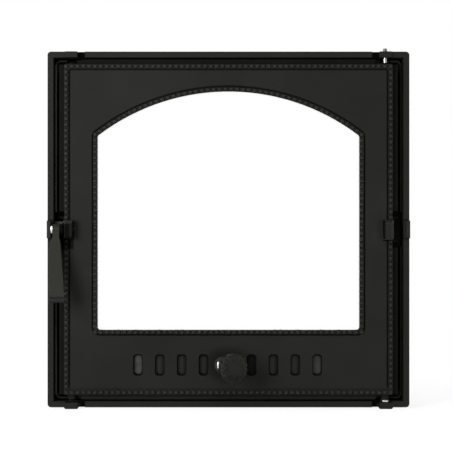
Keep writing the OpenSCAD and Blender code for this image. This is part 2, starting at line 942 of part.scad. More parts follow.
module slider_plate() {
    color(plated_steel)
        slab(slider_y, slider_back)
            difference() {
                translate([slider_x0, slider_z0])
                    square([slider_x1 - slider_x0, slider_z1 - slider_z0]);
                for (x = slots)
                    translate([x - travel, slot_z])
                        rounded(slot_w / 2, slot_h / 2, slot_r);
                translate([stud_x, slot_z])
                    circle(stud_d / 2);
            }
}

// Stands what is drawn along Z on the leaning end of the stud
module on_stud_end() {
    translate([stud_x, bend_y, slot_z])
        rotate([90, 0, knob_lean])
            children();
}

// The stud leans over in front of the nut, where it is turned down for the knob
module control_stud() {
    color(bright_steel) {
        leaf_bar(
            stud_x, slot_z, bend_y - 2 * stud_show,
            slider_back + spring_t + rear_nut_t + stud_show, stud_d
        );
        on_stud_end()
            cylinder(h = knob_reach, d = spigot_d);
    }
}

module spring_washer() {
    color(bright_steel)
        difference() {
            leaf_bar(stud_x, slot_z, slider_back, slider_back + spring_t, nut_af + 1);
            leaf_bar(stud_x, slot_z, slider_back - cut, slider_back + spring_t + cut, stud_d);
        }
}

module rear_nut() {
    color(plated_steel)
        stud_nut(slider_back + spring_t, slider_back + spring_t + rear_nut_t);
}

module front_washer() {
    color(dark_iron)
        difference() {
            leaf_bar(stud_x, slot_z, nut_back, washer_back, washer_d);
            leaf_bar(stud_x, slot_z, nut_back - cut, washer_back + cut, stud_d);
        }
}

module front_nut() {
    color(bright_steel)
        stud_nut(nut_back - nut_t, nut_back);
}

// Fluted head on a tapered neck, turned about the leaning stud
module control_knob() {
    neck_start = 4.5;
    neck_r = 7;
    bevel = 2;
    crown = 5;
    flute_r = 2.2;
    flute_out = 1.2;
    rim_r = knob_d / 2;
    head = knob_reach - knob_t / 2;
    color(iron)
        on_stud_end()
            difference() {
                rotate_extrude()
                    polygon([
                        [0, neck_start],
                        [neck_r, neck_start],
                        [neck_r + 1, head - bevel],
                        [rim_r - bevel, head],
                        [rim_r, head + bevel],
                        [rim_r, head + knob_t - crown],
                        [rim_r - bevel, head + knob_t - bevel],
                        [rim_r - bevel - crown, head + knob_t],
                        [0, head + knob_t]
                    ]);
                translate([0, 0, neck_start - cut])
                    cylinder(h = knob_reach - neck_start + cut, d = spigot_d);
                for (i = [0 : flutes - 1])
                    rotate(360 * i / flutes)
                        translate([rim_r + flute_out, 0, head - cut])
                            cylinder(h = knob_t + 2 * cut, r = flute_r);
            }
}

outer_frame();
hinge_pin_top();
hinge_pin_bottom();
hinge_spacer();
door_leaf();
outer_beading();
inner_beading();
rope_seal();
glass_tape();
glass_pane();
glass_clips();
clip_screws();
slider_guide();
guide_screws();
latch_pin();
latch_washer();
latch_retainer();
latch_handle();
slider_plate();
control_stud();
spring_washer();
rear_nut();
front_washer();
front_nut();
control_knob();
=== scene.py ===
"""A cast iron fireplace door with an arched window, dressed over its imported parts.

Lengths are in metres, in the frame of the parts: X to the right, Y back into the fireplace, Z up.
"""
import json
import math

import bpy
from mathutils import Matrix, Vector

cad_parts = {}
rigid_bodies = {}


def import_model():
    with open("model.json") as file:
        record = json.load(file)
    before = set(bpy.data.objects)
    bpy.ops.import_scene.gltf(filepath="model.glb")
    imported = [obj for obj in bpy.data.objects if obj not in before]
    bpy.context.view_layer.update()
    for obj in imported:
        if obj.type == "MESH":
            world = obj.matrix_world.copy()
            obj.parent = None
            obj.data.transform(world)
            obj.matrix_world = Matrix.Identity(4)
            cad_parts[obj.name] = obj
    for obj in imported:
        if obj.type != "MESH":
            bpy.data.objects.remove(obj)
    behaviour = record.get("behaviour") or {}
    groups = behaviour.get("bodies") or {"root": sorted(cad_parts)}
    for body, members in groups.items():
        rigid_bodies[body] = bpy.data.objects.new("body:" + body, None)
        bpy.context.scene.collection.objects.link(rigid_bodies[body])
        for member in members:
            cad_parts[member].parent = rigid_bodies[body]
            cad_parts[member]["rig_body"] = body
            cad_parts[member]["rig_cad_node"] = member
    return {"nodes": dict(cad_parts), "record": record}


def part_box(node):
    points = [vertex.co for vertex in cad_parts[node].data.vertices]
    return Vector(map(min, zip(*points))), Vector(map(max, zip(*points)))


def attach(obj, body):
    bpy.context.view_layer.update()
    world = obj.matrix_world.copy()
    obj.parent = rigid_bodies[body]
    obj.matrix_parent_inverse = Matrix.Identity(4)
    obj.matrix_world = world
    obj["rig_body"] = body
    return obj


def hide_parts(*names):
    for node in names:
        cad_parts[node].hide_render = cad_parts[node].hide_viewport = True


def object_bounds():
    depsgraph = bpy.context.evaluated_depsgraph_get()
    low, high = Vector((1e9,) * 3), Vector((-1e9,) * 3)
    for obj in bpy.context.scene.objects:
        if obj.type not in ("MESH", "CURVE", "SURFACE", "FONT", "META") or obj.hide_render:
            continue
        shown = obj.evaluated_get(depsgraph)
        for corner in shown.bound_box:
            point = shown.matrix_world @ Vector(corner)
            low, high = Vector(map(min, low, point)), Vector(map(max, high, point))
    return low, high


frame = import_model()
cad_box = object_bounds()
MM = 0.001


# ---- Places on the castings, in millimetres ------------------------------------------

def span(node):
    """The low and the high corner of a part."""
    low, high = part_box(node)
    return low / MM, high / MM


# Fronts are places along Y, and edges are distances from the door's middle. The beads stand
# back a little from the panel's edge, with a groove inside their band.
BEAD_INSET, GROOVE_DEPTH = 0.25, 1.5
LUG_FRONT = span("door_leaf")[0].y
LEAF_EDGE = span("door_leaf")[1].x
BAND_CORNER = span("outer_beading")[1]
PANEL_FRONT = BAND_CORNER.y
PANEL_X, PANEL_Z = BAND_CORNER.x + BEAD_INSET, BAND_CORNER.z + BEAD_INSET
FOOT_GROOVE = PANEL_Z - 6
# The leaf's two lugs: their inner ends, their tops, and upper and lower edge of the left front
LUG_INNER, LUG_TOP = 175, 10.7
LEFT_LUG_TOP, LEFT_LUG_FOOT = 6.9, -10.6
# The slits above and below each lug, cut into the step
SLIT_LOW, SLIT_HIGH = 14.6, 20.4
# The frame's rim, its stop lip, its catch lugs and the notches beside its ears
RIM_FRONT, RIM_INSIDE = -36, 195
STOP_X, STOP_Z, STOP_FRONT = 197.5, 193.1, -27.2
CATCH_X, CATCH_HALF = 197.6, 10
NOTCH_INNER, NOTCH_OUTER, NOTCH_BACK = 162.4, 170.8, -32.2

# The air slots, the reach of the control's stud, and the knob's lean
SLOT_W, SLOT_H = 11 * MM, 24.5 * MM
SLOT_FIRST, SLOT_PITCH, SLOT_SHIFT = 27.2 * MM, 24.75 * MM, 1 * MM
SLOT_LEVEL = (span("slider_plate")[0].z + span("slider_plate")[1].z) / 2
STUD_REACH = 6.2
KNOB_LEAN, KNOB_RISE = math.radians(19.8), 0.03
FLUTES = 14


def knob_foot():
    """The bend of the stud, just in front of its nut."""
    low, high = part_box("front_nut")
    return Vector(((low.x + high.x) / 2, low.y - 1 * MM, (low.z + high.z) / 2))


# ---- Working in edit mode ------------------------------------------------------------

def object_mode():
    """Leaves edit mode."""
    if bpy.context.mode != "OBJECT":
        bpy.ops.object.mode_set(mode="OBJECT")


def take(*objects):
    """Selects these objects alone. The first one is the active one."""
    object_mode()
    bpy.ops.object.select_all(action="DESELECT")
    for obj in objects:
        obj.select_set(True)
    bpy.context.view_layer.objects.active = objects[0]


def edit(obj, kind="FACE"):
    """Opens the object in edit mode with nothing selected."""
    take(obj)
    bpy.ops.object.mode_set(mode="EDIT")
    bpy.ops.mesh.select_mode(type=kind)
    bpy.ops.mesh.select_all(action="DESELECT")
    object_mode()


def faces_where(obj, test):
    """Selects the faces whose middle and normal pass the test, and opens edit mode."""
    edit(obj)
    for face in obj.data.polygons:
        face.select = test(face.center, face.normal)
    bpy.ops.object.mode_set(mode="EDIT")


def points_where(obj, test):
    """Selects the points that pass the test, and opens edit mode."""
    edit(obj, "VERT")
    for point in obj.data.vertices:
        point.select = test(point.co)
    bpy.ops.object.mode_set(mode="EDIT")


def named(name):
    """Names the active object and its mesh."""
    obj = bpy.context.object
    obj.name = name
    obj.data.name = name
    return obj


def block(name, low, high):
    """A block between two corners."""
    low, high = Vector(low), Vector(high)
    bpy.ops.mesh.primitive_cube_add(size=1, location=(low + high) / 2, scale=high - low)
    obj = named(name)
    settle(obj)
    return obj


def drum(name, middle, radius, depth, axis="Z", sides=32):
    """A round bar about an axis, or a prism with few sides."""
    turn = {"X": (0, math.pi / 2, 0), "Y": (math.pi / 2, 0, 0), "Z": (0, 0, 0)}[axis]
    bpy.ops.mesh.primitive_cylinder_add(
        vertices=sides, radius=radius, depth=depth, location=middle, rotation=turn
    )
    obj = named(name)
    settle(obj)
    return obj


def settle(obj):
    """Puts the object's place and turn into its mesh."""
    take(obj)
    bpy.ops.object.transform_apply(location=True, rotation=True, scale=True)


def finish_with(obj, kind, **settings):
    """Adds a modifier and applies it."""
    take(obj)
    modifier = obj.modifiers.new(kind.title(), kind)
    for key, value in settings.items():
        setattr(modifier, key, value)
    bpy.ops.object.modifier_apply(modifier=modifier.name)


def round_edges(obj, width, segments=2, angle=30):
    """Rounds the edges where two faces meet at more than an angle."""
    finish_with(
        obj, "BEVEL", width=width, segments=segments, limit_method="ANGLE",
        angle_limit=math.radians(angle), use_clamp_overlap=True
    )


def smooth(obj, angle=35):
    """Smooth shading that keeps the broad flat faces flat."""
    take(obj)
    bpy.ops.object.shade_smooth_by_angle(angle=math.radians(angle))
    finish_with(obj, "WEIGHTED_NORMAL", keep_sharp=True, weight=100)


def combine(obj, tool, how="DIFFERENCE"):
    """Cuts obj with a second closed shape, or adds or keeps it, and uses the second one up."""
    finish_with(obj, "BOOLEAN", operation=how, object=tool, solver="EXACT")
    bpy.data.objects.remove(tool)


def weld_points(obj, reach=0.01 * MM):
    """Merges points that lie on one another."""
    take(obj)
    bpy.ops.object.mode_set(mode="EDIT")
    bpy.ops.mesh.select_all(action="SELECT")
    bpy.ops.mesh.remove_doubles(threshold=reach)
    object_mode()


def copy_of(obj, name):
    """A copy with its own mesh."""
    twin = obj.copy()
    twin.data = obj.data.copy()
    twin.name = name
    bpy.context.scene.collection.objects.link(twin)
    return twin


def join(name, pieces):
    """Makes one object of several."""
    take(*pieces)
    bpy.ops.object.join()
    return named(name)


# ---- Shader sums ---------------------------------------------------------------------

class Value:
    """An output of a material's node, which takes part in Python sums."""

    def __init__(self, finish, socket):
        self.finish = finish
        self.socket = socket

    def sum(self, operation, first, second=None, third=None):
        """One of the operations of the Math node."""
        values = {0: first}
        if second is not None:
            values[1] = second
        if third is not None:
            values[2] = third
        return self.finish.node("ShaderNodeMath", values, operation=operation)

    def __add__(self, other):
        return self.sum("ADD", self, other)

    def __radd__(self, other):
        return self.sum("ADD", other, self)

    def __sub__(self, other):
        return self.sum("SUBTRACT", self, other)

    def __rsub__(self, other):
        return self.sum("SUBTRACT", other, self)

    def __mul__(self, other):
        return self.sum("MULTIPLY", self, other)

    def __rmul__(self, other):
        return self.sum("MULTIPLY", other, self)

    def __abs__(self):
        return self.sum("ABSOLUTE", self)

    def sine(self):
        return self.sum("SINE", self)

    def most(self, other):
        return self.sum("MAXIMUM", self, other)

    def least(self, other):
        return self.sum("MINIMUM", self, other)

    def wrapped(self, period):
        """Brought between 0 and a period by taking whole periods off."""
        return self.sum("WRAP", self, period, 0)

    def fade(self, low, high):
        """0 at low, 1 at high, and a straight slope between them."""
        return self.finish.node(
            "ShaderNodeMapRange",
            {"Value": self, "From Min": low, "From Max": high, "To Min": 0, "To Max": 1}
        )

    def above(self, edge, soft=0.4):
        """1 from an edge upwards, and 0 a little way below it."""
        return self.fade(edge - soft, edge)

    def below(self, edge, soft=0.4):
        """1 up to an edge, and 0 a little way above it."""
        return self.fade(edge + soft, edge)

    def within(self, low, high, soft=0.4):
        """1 between low and high, and 0 a little way outside them."""
        return self.above(low, soft) * self.below(high, soft)


def length(across, up):
    """Distance from the middle of a point whose two places these are."""
    return across.sum("SQRT", across * across + up * up)


class Finish:
    """A material under construction."""

    def __init__(self, name):
        self.material = bpy.data.materials.new(name)
        self.material.use_nodes = True
        self.tree = self.material.node_tree
        self.tree.nodes.clear()
        self.place = self.node("ShaderNodeTexCoord", output="Object")

    def node(self, kind, values=None, output=0, **settings):
        """A new node: its inputs' values by number or name, its own settings, and the output
        that is handed back."""
        made = self.tree.nodes.new(kind)
        for key, value in settings.items():
            setattr(made, key, value)
        for key, value in (values or {}).items():
            if isinstance(value, Value):
                self.tree.links.new(value.socket, made.inputs[key])
            else:
                made.inputs[key].default_value = value
        return Value(self, made.outputs[output]) if made.outputs else None

    def noise(self, size, detail=3, roughness=0.5, stretch=(1, 1, 1)):
        """Soft noise with lumps of about this size, from 0 to 1."""
        where = self.place
        if stretch != (1, 1, 1):
            where = self.node(
                "ShaderNodeMapping", {"Vector": self.place, "Scale": stretch}
            )
        return self.node(
            "ShaderNodeTexNoise",
            {"Vector": where, "Scale": 1 / size, "Detail": detail, "Roughness": roughness}
        )

    def grains(self, size):
        """Distance to the middle of the nearest grain of this size."""
        return self.node(
            "ShaderNodeTexVoronoi", {"Vector": self.place, "Scale": 1 / size}
        )

    def axes(self):
        """X, Y and Z of the place on the piece, in millimetres."""
        split = self.node("ShaderNodeSeparateXYZ", {0: self.place}).socket.node
        return [Value(self, split.outputs[i]) * 1000 for i in range(3)]

    def blend(self, share, first, second):
        """A colour between two others, each three numbers or another node's value."""
        first, second = (c if isinstance(c, Value) else (*c, 1) for c in (first, second))
        return self.node(
            "ShaderNodeMix", {0: share, 6: first, 7: second}, output=2, data_type="RGBA"
        )

    def scaled(self, colour, share):
        """A colour made lighter or darker."""
        return self.node("ShaderNodeVectorMath", {0: colour, "Scale": share}, operation="SCALE")

    def bump(self, height, depth, strength=1.0):
        """A surface that rises by depth where the height is 1."""
        return self.node(
            "ShaderNodeBump", {"Height": height, "Distance": depth, "Strength": strength}
        )

    def skin(self, **sockets):
        """A principled surface. Socket names have underscores for their spaces."""
        values = {key.replace("_", " "): value for key, value in sockets.items()}
        if "Specular Level" in values:
            values["Specular IOR Level"] = values.pop("Specular Level")
        return self.node("ShaderNodeBsdfPrincipled", values)

    def cover(self, skin):
        """Ends the material with this surface and hands the material back."""
        self.node("ShaderNodeOutputMaterial", {"Surface": skin})
        return self.material

    def coat(self, **sockets):
        """The material with one principled surface."""
        return self.cover(self.skin(**sockets))


def shaded(colour, share):
    """Three numbers of a colour, made lighter or darker."""
    return tuple(share * part for part in colour)


def cast_paint(name, colour, rough, grain, gloss, tone=None, dull=None):
    """Black heat paint over a sand-cast skin. Tone lightens or darkens it from place to
    place, and it has lost its gloss where dull is 1."""
    finish = Finish(name)
    cloud = finish.noise(60 * MM, detail=2)
    speck = finish.noise(2.2 * MM, detail=4, roughness=0.65)
    pits = finish.grains(0.9 * MM)
    shade = (0.7 * cloud + 0.3 * speck).fade(0.32, 0.68)
    skin = finish.noise(0.55 * MM, detail=3, roughness=0.6)
    swell = finish.noise(14 * MM, detail=2)
    normal = finish.bump(0.5 * skin + 0.25 * pits + 1.6 * swell, grain * MM)
    tint = finish.blend(shade, shaded(colour, 0.86), shaded(colour, 1.14))
    where = finish.axes()
    if tone is not None:
        tint = finish.scaled(tint, tone(*where))
    roughness = rough + 0.12 * speck - 0.05 * cloud
    face = finish.skin(
        Base_Color=tint, Roughness=roughness, Specular_Level=gloss, Normal=normal
    )
    if dull is None:
        return finish.cover(face)
    flat = finish.skin(
        Base_Color=tint, Roughness=roughness + 0.25, Specular_Level=0.25 * gloss, Normal=normal
    )
    return finish.cover(
        finish.node("ShaderNodeMixShader", {0: dull(*where), 1: face, 2: flat})
    )


def behind_rim(x, y, z):
    """The frame behind its rim's front: walls, lip and flange."""
    return y.above(RIM_FRONT + 1.2, 1)


def frame_tone(x, y, z):
    """Painted light on the walls behind the rim's front, on the stop lip (stronger towards the
    left) and on the faces of the catch lugs; painted shade in the notches beside the ears, and
    painted shadow lines along the catch lugs' upper and lower edges."""
    side, level = abs(x), abs(z)
    lip = side.below(STOP_X, 0.5) * level.below(STOP_Z, 0.5) * y.below(STOP_FRONT)
    towards_left = x.fade(150, -150)
    lip = lip * towards_left * level.below(PANEL_Z, 1.5)
    foot = z.below(-RIM_INSIDE - 0.4, 0.8)
    notch = side.within(NOTCH_INNER, NOTCH_OUTER) * level.above(RIM_INSIDE, 0.6)
    wall = y.within(RIM_FRONT + 0.7, NOTCH_BACK)
    notch = notch * wall.most(foot * y.below(NOTCH_BACK, 0.6))
    catch = side.above(CATCH_X) * y.below(RIM_FRONT + 0.4)
    catch_lug = catch * level.below(CATCH_HALF - 0.9)
    catch_edge = catch * level.within(CATCH_HALF - 0.3, CATCH_HALF + 1.4)
    # Painted light behind the rim, on the stop lip and on the catch lugs' faces
    lighter = 0.2 * behind_rim(x, y, z) + 3.6 * lip + 0.35 * catch_lug
    # Painted shade in the ear notches and along the catch lugs' edges
    black = notch.most(catch_edge * 0.75)
    return (1 + lighter) * (1 - 0.9 * black)


def leaf_recess(x, y, z):
    """The step, slots and grooves of the leaf, but not the shallow groove along its foot."""
    foot_groove = abs(z + FOOT_GROOVE).below(3, 1)
    foot_groove = foot_groove * y.below(PANEL_FRONT + GROOVE_DEPTH + 0.1, 1)
    return y.above(PANEL_FRONT + 0.8, 0.6) * (1 - foot_groove)


def lug_painted_shadow(x, y, z):
    """Painted shadow of the handle's hub on the left lug's front and outer wall, deeper towards
    the hub.
    """
    front = z.below(LEFT_LUG_TOP - 0.9, 1) * z.above(LEFT_LUG_FOOT)
    front = front * y.below(LUG_FRONT + 0.5, 0.5)
    towards_hub = x.fade(0.5 - LUG_INNER, -6 - LUG_INNER).least(0.86)
    wall = z.below(LEFT_LUG_TOP + 0.1, 1) * z.above(LEFT_LUG_FOOT - 0.6)
    wall = wall * x.below(1.4 - PANEL_X, 0.6) * y.below(LUG_FRONT + 7.5, 0.5)
    return (front * towards_hub).most(wall)


def painted_shadows(x, y, z):
    """Painted shadows and shade round the lugs: broad under the left one and over its front, a
    line along the lower edge of the right one, down the inner ends of both, and in the step's
    slits."""
    side, level = abs(x), abs(z)
    on_left, on_right = x.below(-1, 1), x.above(0, 1)
    broad = z.within(-22, LEFT_LUG_FOOT) * side.above(LUG_INNER + 0.6, 1) * on_left
    line = z.within(-13.3, -12) * side.within(LUG_INNER, PANEL_X + 0.5) * on_right
    ends = side.within(LUG_INNER - 1.4, LUG_INNER + 1.1) * level.below(LUG_TOP - 0.2)
    ends = ends * y.below(PANEL_FRONT - 0.6, 0.6)
    slits = level.within(SLIT_LOW, SLIT_HIGH) * side.within(PANEL_X - 0.2, LEAF_EDGE + 0.6)
    return broad.most(line).most(ends.most(slits)).most(lug_painted_shadow(x, y, z))


def painted_shadow_factor(x, y, z):
    """What the painted shadows round the lugs leave of the paint's colour."""
    return 1 - 0.93 * painted_shadows(x, y, z)


def leaf_dull(x, y, z):
    """Where the leaf has no gloss: its recesses, and the left lug under its painted shadow."""
    return leaf_recess(x, y, z).most(lug_painted_shadow(x, y, z))


def leaf_tone(x, y, z):
    """Painted shade in the recesses (less on the bottom step), the painted shadows round the
    lugs, a painted halo of shade round the control's washer and knob along the stud's whole
    travel, and painted highlights on the brows on top of the lugs."""
    patch_edge, patch_full = 23, 13
    beyond_reach = (abs(x) - STUD_REACH).most(0)
    # Painted shade: a halo round the knob and its washer, along the stud's travel
    knob_halo = length(beyond_reach, z - SLOT_LEVEL).fade(patch_edge, patch_full)
    foot_step = z.below(-PANEL_Z - 0.5, 1)
    # Painted shade in the recesses
    recess_shade = (0.5 - 0.35 * foot_step) * leaf_recess(x, y, z)
    # Painted highlight on the lugs' top brows, weaker on the right
    painted_brow_light = z.within(LEFT_LUG_TOP, LUG_TOP) * y.below(PANEL_FRONT - 1.2, 0.6)
    painted_brow_light = painted_brow_light * (x.below(-LUG_INNER, 1) + 0.4 * x.above(LUG_INNER, 1))
    return (1 - recess_shade) * painted_shadow_factor(x, y, z) * (1 - 0.5 * knob_halo) * (1 + 1.2 * painted_brow_light)


def bead_gaps(x, y, z):
    """The foot of the beads, next to the panel."""
    return y.above(PANEL_FRONT - 0.9, 0.7)


def bead_tone(x, y, z):
    """Painted shade between the beads, and the painted shadows round the lugs."""
    return (1 - 0.45 * bead_gaps(x, y, z)) * painted_shadow_factor(x, y, z)


def handle_tone(x, y, z):
    """Painted shade along the rolled lip."""
    lip_top = span("latch_handle")[0].z + 6
    return 1 - 0.3 * z.below(lip_top, 3)


def knob_tone(x, y, z):
    """Painted shade round its side and neck, and patchy painted shade in the inner ends of the
    grooves.
    """
    foot = knob_foot() / MM
    cosine, sine = math.cos(KNOB_LEAN), math.sin(KNOB_LEAN)
    x, y, z = x - foot.x, y - foot.y, z - foot.z
    out = x * sine - y * cosine
    across = x * cosine + y * sine
    face_edge, groove_shade_inner, groove_shade_outer = 33, 7, 11.5
    turn = across.sum("ARCTAN2", z, across)
    # Painted shade in the grooves
    groove = (turn * FLUTES + math.pi / 2).sine().fade(0.3, 0.9)
    patchy = out.finish.noise(5 * MM, detail=1).fade(0.4, 0.6)
    groove = groove * length(across, z).within(groove_shade_inner, groove_shade_outer, 1)
    groove = groove * (0.25 + 0.75 * patchy)
    # Painted shade on the side and neck, and in the grooves
    return (1 - 0.7 * out.below(face_edge, 1.5)) * (1 - 0.7 * groove)


def knob_dull(x, y, z):
    """The lower part of the knob, which has lost some gloss."""
    return 0.6 * z.below(knob_foot().z / MM - 12, 6)


LATHE_PITCH = 0.35
# Dark steel for the painted shade on the spacer's top and the latch pin's shank
SHADE_DARK = (0.011, 0.011, 0.010)


def turned_steel(name, colour, rough, axis, dull_from=None, dull=SHADE_DARK, gloss=0.5):
    """Bright steel with the fine rings of a lathe tool along one axis. Beyond a place on that
    axis it is dull and dark."""
    finish = Finish(name)
    along = finish.axes()["XYZ".index(axis)]
    rings = (along * (2 * math.pi / LATHE_PITCH)).sine()
    smear = finish.noise(1.5 * MM, detail=3)
    stain = finish.noise(6 * MM, detail=2).fade(0.35, 0.75)
    tone, metal = finish.blend(stain, colour, shaded(colour, 0.72)), 1.0
    if dull_from is not None:
        dulled = along.above(dull_from + 0.5, 0.5)
        tone = finish.blend(dulled, tone, dull)
        metal = 1 - dulled
    return finish.coat(
        Base_Color=tone,
        Metallic=metal,
        Roughness=rough + 0.14 * smear,
        Specular_Level=gloss,
        Normal=finish.bump(rings + 0.6 * smear, 0.01 * MM, 0.5)
    )


def glinting_nut(name, node, dull, bright):
    """Blackened nut with a painted glint of bright metal along its left flat."""
    finish = Finish(name)
    low, high = span(node)
    x, _, z = finish.axes()
    haze = finish.noise(3 * MM)
    flat_from, flat_to = low.x + 0.8, low.x + 2.6
    level, half_height = (low.z + high.z) / 2 + 1.2, 3
    # The painted glint on the left flat
    painted_sheen = x.within(flat_from, flat_to) * abs(z - level).below(half_height, 0.9)
    return finish.coat(
        Base_Color=finish.blend(painted_sheen, dull, bright),
        Metallic=painted_sheen,
        Roughness=0.42 - 0.2 * painted_sheen + 0.1 * haze,
        Specular_Level=0.25,
        Normal=finish.bump(haze, 0.02 * MM)
    )


def plated_steel(name, colour, rough):
    """Zinc plate with its faint spangle."""
    finish = Finish(name)
    spangle = finish.node(
        "ShaderNodeTexVoronoi", {"Vector": finish.place, "Scale": 1 / (2.4 * MM)}, output="Color"
    )
    facet = finish.node("ShaderNodeSeparateColor", {0: spangle})
    haze = finish.noise(9 * MM, detail=3)
    return finish.coat(
        Base_Color=finish.blend(haze.fade(0.35, 0.7), colour, shaded(colour, 0.8)),
        Metallic=1.0,
        Roughness=rough + 0.12 * facet + 0.1 * haze,
        Normal=finish.bump(finish.noise(0.4 * MM), 0.01 * MM, 0.4)
    )


def rolled_sheet(name, dull, painted_sheen, rough):
    """Dull rolled steel sheet with fine marks along X and a painted sheen towards its ends,
    stronger on the left. It has painted shade to the right of the middle of each slot, and the
    knob's painted shadow in the slot beside it."""
    finish = Finish(name)
    marks = finish.noise(0.5 * MM, detail=3, stretch=(0.03, 1, 1))
    stain = finish.noise(18 * MM, detail=3).fade(0.35, 0.7)
    x = finish.axes()[0]
    # Painted sheen towards the ends of the sheet
    row_middle, sheen_start, sheen_full = -4, 88, 101
    more_on_left = 0.75 - x * 0.0025
    ends = abs(x - row_middle).fade(sheen_start, sheen_full) * more_on_left
    cloud = finish.noise(5 * MM, detail=2).fade(0.3, 0.6)
    # Place beside the middle of the nearest slot, positive to the right
    half = SLOT_PITCH / MM / 2
    aside = (abs(x + SLOT_SHIFT / MM) - SLOT_FIRST / MM + half).wrapped(2 * half) - half
    aside = aside * (2 * x.fade(-1, 1) - 1)
    # Painted shade on the right of each slot, and the knob's painted shadow in the slot beside it
    knob_shadow = x.within(21, 32, 2)
    seen = (1 - 0.78 * aside.fade(-1.9, 3.2)) * (1 - 0.95 * knob_shadow)
    brown = (0.8 * dull[0], 0.72 * dull[1], 0.62 * dull[2])
    tone = finish.scaled(finish.blend(stain * 0.4, dull, brown), seen)
    return finish.coat(
        Base_Color=finish.blend(ends * (0.5 + 0.5 * cloud), tone, painted_sheen),
        Roughness=rough + 0.2 * marks,
        Specular_Level=0.07,
        Normal=finish.bump(marks, 0.02 * MM, 0.5)
    )


def pane_glass(name):
    """Clear ceramic glass."""
    finish = Finish(name)
    return finish.coat(
        Base_Color=(1, 1, 1, 1),
        Roughness=0.0,
        IOR=1.5,
        Transmission_Weight=1.0
    )


KNIT_PITCH, WEAVE_PITCH = 1.1, 1.6


def knitted_fibre(name, colour):
    """Knitted glass fibre, whose threads follow the piece's own UV map in millimetres."""
    finish = Finish(name)
    uv = finish.node("ShaderNodeUVMap", uv_map="thread")
    split = finish.node("ShaderNodeSeparateXYZ", {0: uv}).socket.node
    along, around = (Value(finish, split.outputs[i]) for i in range(2))
    turn = 2 * math.pi / KNIT_PITCH
    threads = ((along + around) * turn).sine().most(((along - around) * turn).sine())
    fluff = finish.noise(0.5 * MM, detail=4, roughness=0.7)
    shade = (threads * 0.35 + fluff).fade(0.2, 0.9)
    return finish.coat(
        Base_Color=finish.blend(shade, shaded(colour, 0.62), colour),
        Roughness=0.95,
        Specular_Level=0.2,
        Sheen_Weight=0.3,
        Normal=finish.bump(0.6 * threads + 0.7 * fluff, 0.25 * MM)
    )


def woven_tape(name, colour):
    """Plain woven glass fibre tape."""
    finish = Finish(name)
    x, _, z = finish.axes()
    turn = 2 * math.pi / WEAVE_PITCH
    warp, weft = (x * turn).sine(), (z * turn).sine()
    weave = abs(warp) * 0.5 + abs(weft) * 0.5
    fluff = finish.noise(0.4 * MM, detail=4, roughness=0.7)
    return finish.coat(
        Base_Color=finish.blend(weave * 0.7 + 0.3 * fluff, shaded(colour, 0.6), colour),
        Roughness=0.95,
        Specular_Level=0.2,
        Normal=finish.bump(weave + 0.4 * fluff, 0.2 * MM)
    )


# ---- Finishes of this door -------------------------------------------------------------

OLIVE_BLACK = (0.0134, 0.0137, 0.0121)
FRAME_IRON = cast_paint(
    "frame_black", shaded(OLIVE_BLACK, 0.84), rough=0.5, grain=0.05, gloss=0.06,
    tone=frame_tone, dull=behind_rim
)
LEAF_IRON = cast_paint(
    "leaf_black", OLIVE_BLACK, rough=0.5, grain=0.05, gloss=0.04, tone=leaf_tone, dull=leaf_dull
)
BEAD_IRON = cast_paint(
    "bead_black", shaded(OLIVE_BLACK, 1.17), rough=0.46, grain=0.03, gloss=0.08,
    tone=bead_tone, dull=bead_gaps
)
HANDLE_IRON = cast_paint(
    "handle_black", (0.0145, 0.0150, 0.0115), rough=0.45, grain=0.03, gloss=0.08,
    tone=handle_tone
)
KNOB_IRON = cast_paint(
    "knob_black", (0.0106, 0.0110, 0.0096), rough=0.45, grain=0.03, gloss=0.07,
    tone=knob_tone, dull=knob_dull
)
WASHER_STEEL = cast_paint(
    "washer_steel", (0.024, 0.024, 0.022), rough=0.4, grain=0.01, gloss=0.1
)
# Near black, as painted shade on the handle's washer and the latch pin's retainer, which sit in
# shadow
SHADOW_BLACK = cast_paint("shadow_black_steel", (0.002, 0.002, 0.0019), rough=0.6, grain=0.01, gloss=0.015)
BRIGHT = (0.86, 0.86, 0.84)
TOP_PIN_STEEL = turned_steel(
    "top_pin_steel", (0.40, 0.40, 0.39), rough=0.2, axis="Z",
    dull_from=span("outer_frame")[1].z - 1, dull=(0.07, 0.07, 0.066)
)
PIN_STEEL = turned_steel("bright_pin_steel", BRIGHT, rough=0.16, axis="Z")
# Painted shade on the spacer's top band, which leaves its highlight lens-shaped
SPACER_STEEL = turned_steel(
    "bright_spacer_steel", BRIGHT, rough=0.16, axis="Z",
    dull_from=span("hinge_spacer")[1].z - 1.9
)
# Painted shade on the latch pin's shank beyond its head
LATCH_STEEL = turned_steel(
    "bright_latch_steel", (0.86, 0.86, 0.83), rough=0.16, axis="X",
    dull_from=span("latch_pin")[0].x + 3.6, gloss=0.06
)
STUD_STEEL = turned_steel("bright_stud_steel", (0.84, 0.84, 0.82), rough=0.18, axis="Y")
NUT_WITH_GLINT = glinting_nut("black_nut_with_glint", "front_nut", (0.020, 0.020, 0.018), BRIGHT)
ZINC = plated_steel("zinc_plate", (0.56, 0.55, 0.52), rough=0.3)
# Its second colour is that of the painted sheen
SHEET = rolled_sheet(
    "rolled_slider_sheet", (0.026, 0.0266, 0.0244), (0.067, 0.067, 0.0647), rough=0.5
)
GLASS = pane_glass("clear_ceramic")
ROPE = knitted_fibre("knitted_rope", (0.62, 0.60, 0.55))
TAPE = woven_tape("woven_tape", (0.60, 0.59, 0.55))


# ---- Pieces that keep the shape of their part -----------------------------------------

BODIES = frame["record"]["behaviour"]["bodies"]


def body_of(node):
    """The moving body that a part belongs to."""
    return next(body for body, members in BODIES.items() if node in members)


